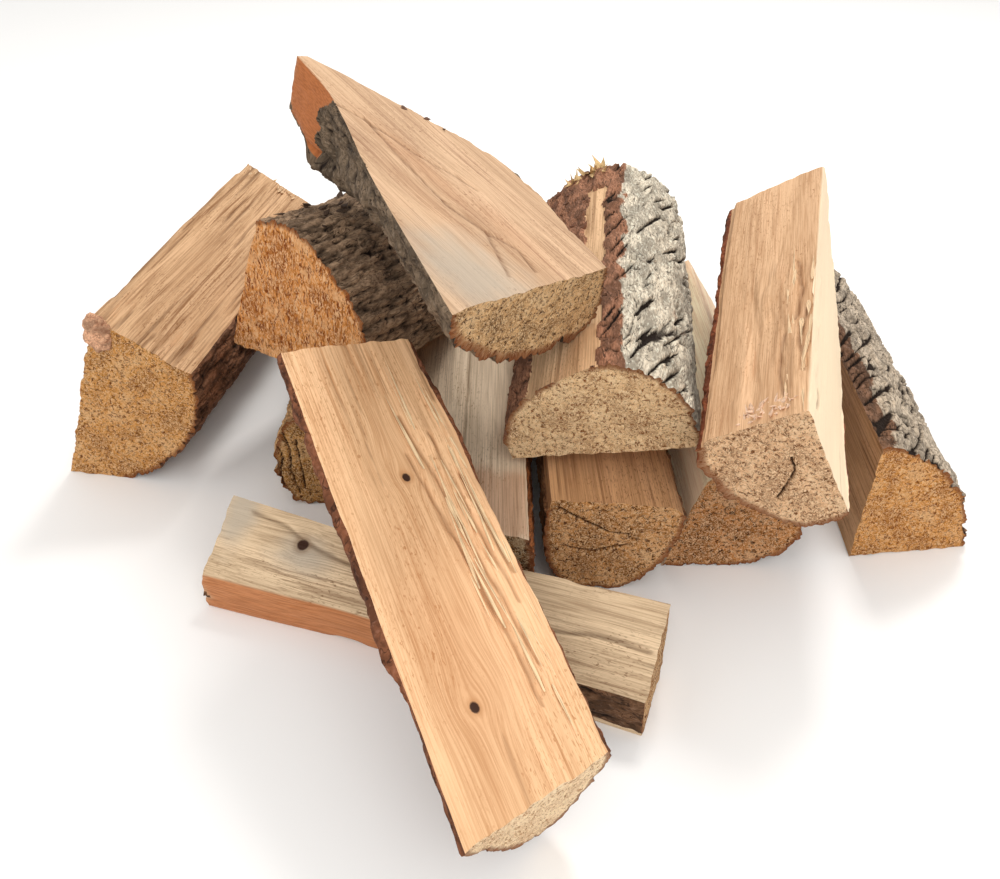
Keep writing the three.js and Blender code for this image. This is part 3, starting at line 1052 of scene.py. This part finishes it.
def on_top(solid, right, along):
    """Point of a log's top, so far to the right of its axis and along, in metres. Beyond the
    edge it is the edge."""
    u, v, _ = solid.local(solid.at([along / solid.length])[0]).T
    right = np.clip(right, u.min() + 0.5 * MM, u.max() - 0.5 * MM)
    next_u, next_v = np.roll(u, -1), np.roll(v, -1)
    crosses = (u - right) * (next_u - right) <= 0
    t = (right - u) / np.where(np.abs(next_u - u) < 1e-9, 1e-9, next_u - u)
    top = np.where(crosses, v + np.clip(t, 0, 1) * (next_v - v), -9.0).max()
    return solid.right * right + solid.axis * along + solid.up * top


def one_splinter():
    """A flat, pointed splinter one metre long, wide and thick, to be copied and scaled."""
    deselect()
    bpy.ops.mesh.primitive_cube_add(size=1)
    obj = bpy.context.object
    edit("EDGE")
    for edge in obj.data.edges:
        a, b = (obj.data.vertices[k].co for k in edge.vertices)
        edge.select = abs(a.x - b.x) > 0.5
    bpy.ops.object.mode_set(mode="EDIT")
    bpy.ops.mesh.subdivide(number_cuts=SPLINTER_CUTS)
    bpy.ops.object.mode_set(mode="OBJECT")
    for vertex in obj.data.vertices:
        share = vertex.co.x + 0.5
        vertex.co.x = share
        taper = max(0.06, min(1.0, 1.6 * (1 - share), 0.5 + 3 * share))
        vertex.co.y *= taper
        vertex.co.z *= taper
    return obj


def scatter(name, look, seed):
    """Copies of one splinter spread over a stretch of a log, joined into one piece."""
    solid = Solid(look["log"])
    chance = np.random.default_rng(seed)
    first = one_splinter()
    shape = coordinates(first.data)
    left, right, near, far = look["region"]
    copies = []
    for _ in range(look["count"]):
        u, w = chance.uniform(left, right) * MM, chance.uniform(near, far) * MM
        length = chance.uniform(*look["length"]) * MM
        width = chance.uniform(*look["width"]) * MM
        lift = math.radians(chance.uniform(*look["lift"]))
        heading = math.radians(chance.uniform(*look["heading"]))
        curl, towards = chance.uniform(*SPLINTER_CURL), chance.choice([-1, 1])
        here = on_top(solid, u, w)
        across = here - on_top(solid, here @ solid.right - SLOPE_STEP, w)
        forward = here - on_top(solid, u, w - SLOPE_STEP)
        across, forward = (v / np.linalg.norm(v) for v in (across, forward))
        normal = np.cross(across, forward)
        normal /= np.linalg.norm(normal)
        run = (forward * math.cos(heading) + across * math.sin(heading)) * towards
        wide = np.cross(normal, run)
        run = run * math.cos(lift) + normal * math.sin(lift)
        rise = np.cross(run, wide)
        copy = first.copy()
        copy.data = first.data.copy()
        bpy.context.collection.objects.link(copy)
        bend = curl * shape[:, 0] ** 2 * length * (0.2 + math.sin(abs(lift)))
        points = (solid.middle + here + normal * LIFT_OFF
                  + np.outer(shape[:, 0] * length, run) + np.outer(shape[:, 1] * width, wide)
                  + np.outer(shape[:, 2] * width * SPLINTER_THICKNESS + bend, rise))
        copy.data.vertices.foreach_set("co", points.ravel())
        store(copy, "grain", "FLOAT_VECTOR", shape * np.array([width, width, length])
              + chance.uniform(0, 1, 3))
        copies.append(copy)
    bpy.data.objects.remove(first)
    deselect()
    for copy in copies:
        copy.select_set(True)
    bpy.context.view_layer.objects.active = copies[0]
    bpy.ops.object.join()
    piece = bpy.context.object
    piece.name = piece.data.name = name
    piece.data.materials.append(torn_fibre(name.replace("_", " "), look["colour"]))
    finish_shading(piece)
    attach(piece, "root")
    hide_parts(look["log"])


def crumb(name, look):
    """A crumbly lump of inner bark that hangs from a log."""
    solid = Solid(look["log"])
    deselect()
    bpy.ops.mesh.primitive_ico_sphere_add(subdivisions=5, radius=1)
    obj = bpy.context.object
    obj.name = obj.data.name = name
    ball = coordinates(obj.data)
    place = ball * np.array(look["size"]) * MM
    lumps = layered(scaled(place, 7, 7), look["seed"], 3) * 2.6 * MM
    place = place + ball * lumps[:, None]
    right, up, along = np.array(look["at"]) * MM
    centre = solid.middle + solid.right * right + solid.up * up + solid.axis * along
    points = centre + place @ np.stack([solid.right, solid.up, solid.axis])
    obj.data.vertices.foreach_set("co", points.ravel())
    store(obj, "grain", "FLOAT_VECTOR", place)
    # Darker in the dips between the lumps: painted shade.
    store(obj, "open", "FLOAT", np.clip(0.75 + lumps / (3 * MM), 0, 1))
    title = "crumbled " + name.replace("_", " ")
    obj.data.materials.append(bark_skin(title, look["colour"], look["furrow"], look["colour"]))
    finish_shading(obj)
    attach(obj, "root")
    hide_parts(look["log"])


# ---------------------------------------------------------------- operators

class FIREWOOD_OT_split_logs(bpy.types.Operator):
    """Carves the freshly split logs"""
    bl_idname = "firewood.split_logs"
    bl_label = "Split logs"

    def execute(self, context):
        build_logs("split_wood")
        return {"FINISHED"}


class FIREWOOD_OT_bark_logs(bpy.types.Operator):
    """Carves the logs that show mostly bark"""
    bl_idname = "firewood.bark_logs"
    bl_label = "Bark logs"

    def execute(self, context):
        build_logs("bark")
        return {"FINISHED"}


class FIREWOOD_OT_weathered_logs(bpy.types.Operator):
    """Carves the old, greyed logs"""
    bl_idname = "firewood.weathered_logs"
    bl_label = "Weathered logs"

    def execute(self, context):
        build_logs("weathered_wood")
        return {"FINISHED"}


def aim(obj, at, towards):
    obj.location = at
    obj.rotation_euler = (Vector(towards) - Vector(at)).to_track_quat("-Z", "Y").to_euler()


class FIREWOOD_OT_splinters(bpy.types.Operator):
    """Adds the torn splinters, bark flakes, bark strings and the crumbly chip"""
    bl_idname = "firewood.splinters"
    bl_label = "Splinters"

    def execute(self, context):
        for seed, (name, look) in enumerate(SPLINTERS.items()):
            scatter(name, look, seed + 100)
        for name, look in CRUMBS.items():
            crumb(name, look)
        return {"FINISHED"}


class FIREWOOD_OT_stage(bpy.types.Operator):
    """Lays the pale floor, hangs the soft lights and sets the camera"""
    bl_idname = "firewood.stage"
    bl_label = "Studio"

    def execute(self, context):
        scene = context.scene
        deselect()
        bpy.ops.mesh.primitive_plane_add(size=FLOOR_SIDE, location=(0, 0, 0))
        floor = context.object
        floor.name = floor.data.name = "floor"
        material, tree = new_material("studio floor")
        shader = add(tree, "BsdfPrincipled", {
            "Base Color": (*scene.firewood_colours.floor, 1), "Roughness": 0.9})
        add(tree, "OutputMaterial", {"Surface": shader.outputs["BSDF"]})
        floor.data.materials.append(material)

        world = bpy.data.worlds.new("studio")
        world.use_nodes = True
        sky = world.node_tree.nodes["Background"]
        sky.inputs["Color"].default_value = SKY_COLOUR
        sky.inputs["Strength"].default_value = SKY_STRENGTH
        scene.world = world
        for name, at, size, power, colour in LIGHTS:
            light = bpy.data.lights.new(name, "AREA")
            light.size = size
            light.energy = power
            light.color = colour
            lamp = bpy.data.objects.new(name, light)
            scene.collection.objects.link(lamp)
            aim(lamp, at, LIGHTS_AIM)

        camera = bpy.data.cameras.new("camera")
        camera.sensor_width = CAMERA_SENSOR
        camera.lens = CAMERA_LENS
        eye = bpy.data.objects.new("camera", camera)
        scene.collection.objects.link(eye)
        eye.location = CAMERA_AT
        eye.rotation_euler = (math.pi / 2 - CAMERA_DOWN, 0, 0)
        scene.camera = eye
        scene.view_settings.view_transform = "Standard"
        return {"FINISHED"}


class FIREWOOD_PT_panel(bpy.types.Panel):
    bl_idname = "FIREWOOD_PT_panel"
    bl_label = "Firewood"
    bl_space_type = "VIEW_3D"
    bl_region_type = "UI"
    bl_category = "Firewood"

    def draw(self, context):
        for settings in (context.scene.firewood_sizes, context.scene.firewood_colours):
            for key in settings.bl_rna.properties.keys():
                if key not in ("rna_type", "name"):
                    self.layout.prop(settings, key)
        for operator in OPERATORS:
            self.layout.operator(operator.bl_idname)


OPERATORS = (
    FIREWOOD_OT_stage,
    FIREWOOD_OT_split_logs,
    FIREWOOD_OT_bark_logs,
    FIREWOOD_OT_weathered_logs,
    FIREWOOD_OT_splinters,
)
CLASSES = (SizeSettings, ColourSettings, *OPERATORS, FIREWOOD_PT_panel)


def register():
    for cls in CLASSES:
        bpy.utils.register_class(cls)
    bpy.types.Scene.firewood_sizes = bpy.props.PointerProperty(type=SizeSettings)
    bpy.types.Scene.firewood_colours = bpy.props.PointerProperty(type=ColourSettings)


def unregister():
    del bpy.types.Scene.firewood_sizes
    del bpy.types.Scene.firewood_colours
    for cls in reversed(CLASSES):
        bpy.utils.unregister_class(cls)


def main():
    register()
    bpy.ops.firewood.stage()
    bpy.ops.firewood.split_logs()
    bpy.ops.firewood.bark_logs()
    bpy.ops.firewood.weathered_logs()
    bpy.ops.firewood.splinters()


if __name__ == "__main__":
    main()
